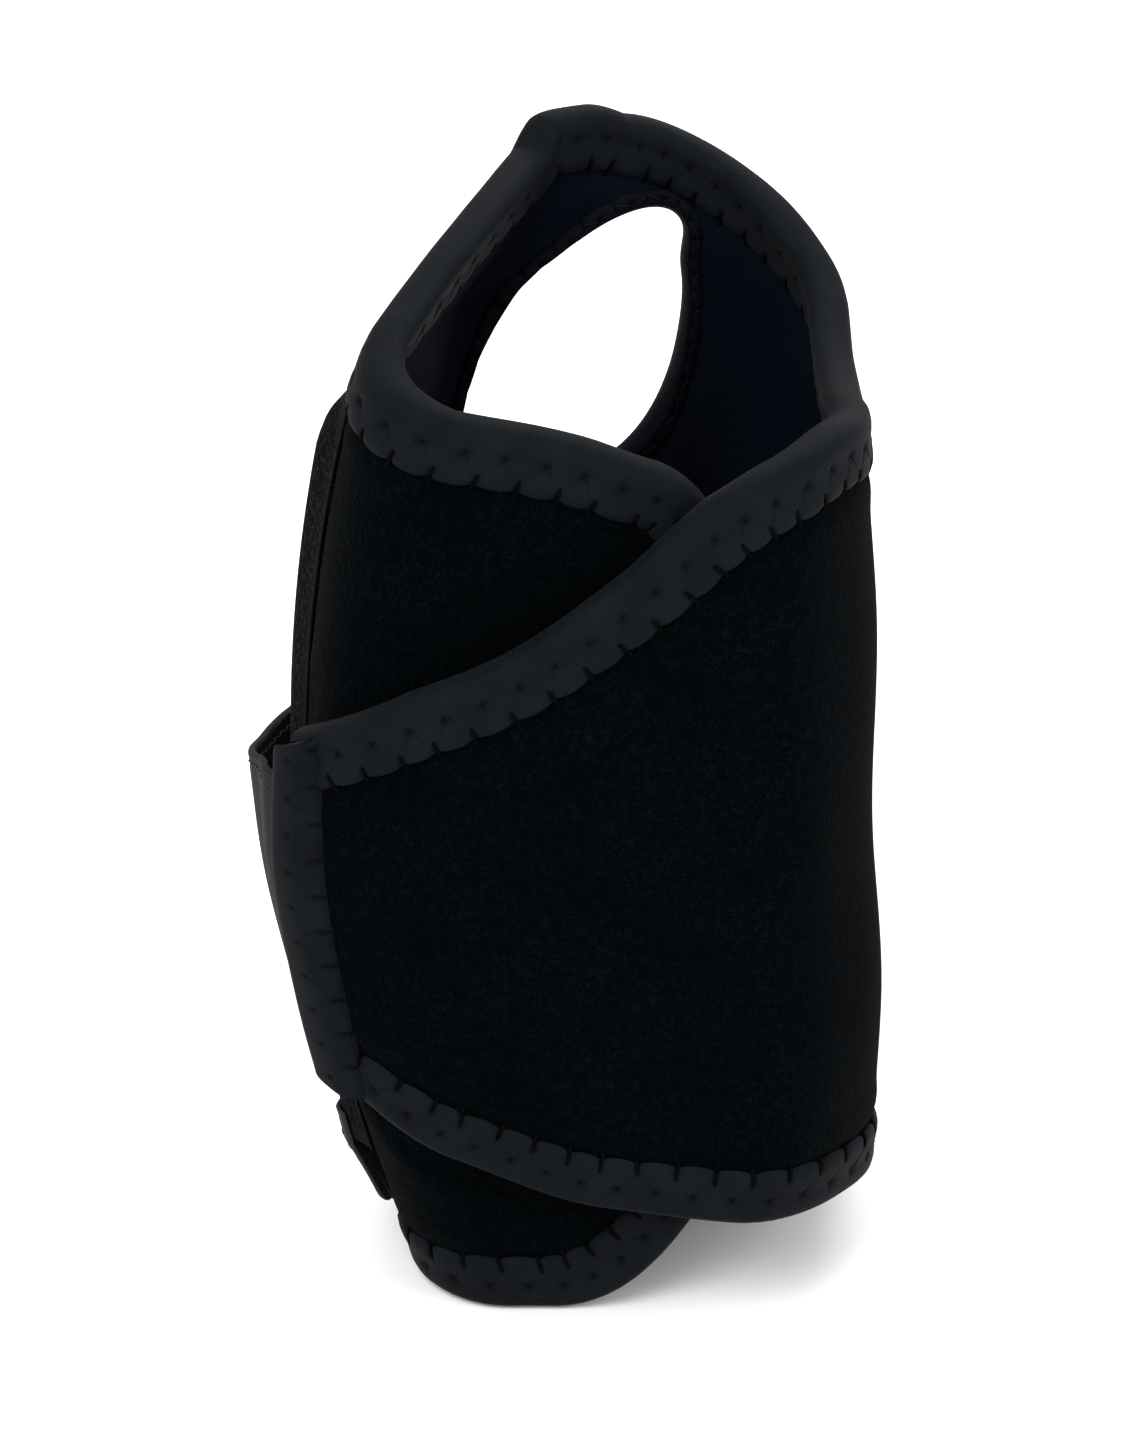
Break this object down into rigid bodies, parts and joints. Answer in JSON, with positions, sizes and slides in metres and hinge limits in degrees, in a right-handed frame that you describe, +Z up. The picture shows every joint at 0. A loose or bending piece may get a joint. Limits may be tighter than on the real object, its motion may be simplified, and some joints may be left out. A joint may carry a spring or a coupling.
{
  "type": "wrist support brace",
  "caption": "Neoprene wrist support brace for the left hand, wrapped closed, with a thumb hole, a palm stay in a pocket and a hook-and-loop strap.",
  "frame": {"origin": "centre of the bounding box in plan, on the surface that the brace stands on", "axes": "+Z up the forearm towards the fingers; -X is the palm side with the stay pocket; +Y is the thumb side with the thumb hole; -Y is the little-finger side, where the flap crosses over the tail"},
  "size_m": [0.1006, 0.0842, 0.1805],
  "materials": {
    "neoprene_pile": "brushed loop pile",
    "navy_lining": "smooth knit",
    "edge_tape": "folded knit tape with flatlock stitching",
    "thumb_hole_tape": "narrow knit tape",
    "pocket_loop": "coarse loop pile",
    "flap_pile": "brushed loop pile",
    "flap_lining": "smooth knit",
    "flap_top_tape": "folded knit tape",
    "flap_bottom_tape": "folded knit tape",
    "strap_root_weave": "smooth elastic weave",
    "anchor_tape": "stitched tape",
    "strap_weave": "smooth elastic weave",
    "strap_tail_weave": "smooth elastic weave",
    "hook_tape": "moulded hooks",
    "stay_aluminium": "mill finish",
    "stay_tip_upper": "dipped vinyl",
    "stay_tip_lower": "dipped vinyl",
    "tab_fabric": "smooth coated weave",
    "tab_hook_tape": "moulded hooks"
  },
  "bodies": {
    "sleeve": {"sleeve_shell": "neoprene_pile", "sleeve_lining": "navy_lining", "sleeve_binding": "edge_tape", "thumb_hole_binding": "thumb_hole_tape", "splint_pocket_panel": "pocket_loop"},
    "flap": {"flap_shell": "flap_pile", "flap_lining": "flap_lining", "flap_top_binding": "flap_top_tape", "flap_bottom_binding": "flap_bottom_tape", "strap_root": "strap_root_weave", "strap_anchor_strip": "anchor_tape"},
    "strap": {"strap_band": "strap_weave"},
    "strap_end": {"strap_tail": "strap_tail_weave", "hook_patch": "hook_tape"},
    "splint": {"splint_stay": "stay_aluminium", "splint_tip_top": "stay_tip_upper", "splint_tip_bottom": "stay_tip_lower"},
    "tab": {"pocket_tab": "tab_fabric", "pocket_tab_hook": "tab_hook_tape"}
  },
  "joints": [
    {"name": "wrap_open", "type": "hinge", "parent": "sleeve", "child": "flap", "pos_m": [0.05003, -0.00549, 0], "axis": [0, 0, 1], "range_deg": [0, 60]},
    {"name": "strap_peel", "type": "hinge", "parent": "flap", "child": "strap", "pos_m": [-0.04559, -0.03252, 0], "axis": [0, 0, 1], "range_deg": [0, 120]},
    {"name": "strap_end_peel", "type": "hinge", "parent": "strap", "child": "strap_end", "pos_m": [-0.02685, 0.03314, 0], "axis": [0, 0, 1], "range_deg": [0, 60]},
    {"name": "splint_slide", "type": "hinge", "parent": "sleeve", "child": "splint", "pos_m": [0.21454, -0.06943, 0.088], "axis": [-0.2756, -0.9613, 0], "range_deg": [0, 28]},
    {"name": "tab_lift", "type": "hinge", "parent": "sleeve", "child": "tab", "pos_m": [-0.03345, 0.00163, 0.0278], "axis": [0.2756, 0.9613, 0], "range_deg": [0, 131.6]}
  ],
  "couplings": [
    {"joint": "strap_peel", "follows": "wrap_open", "ratio": 2},
    {"joint": "strap_end_peel", "follows": "wrap_open", "ratio": 1},
    {"joint": "tab_lift", "follows": "splint_slide", "ratio": 4.7}
  ]
}
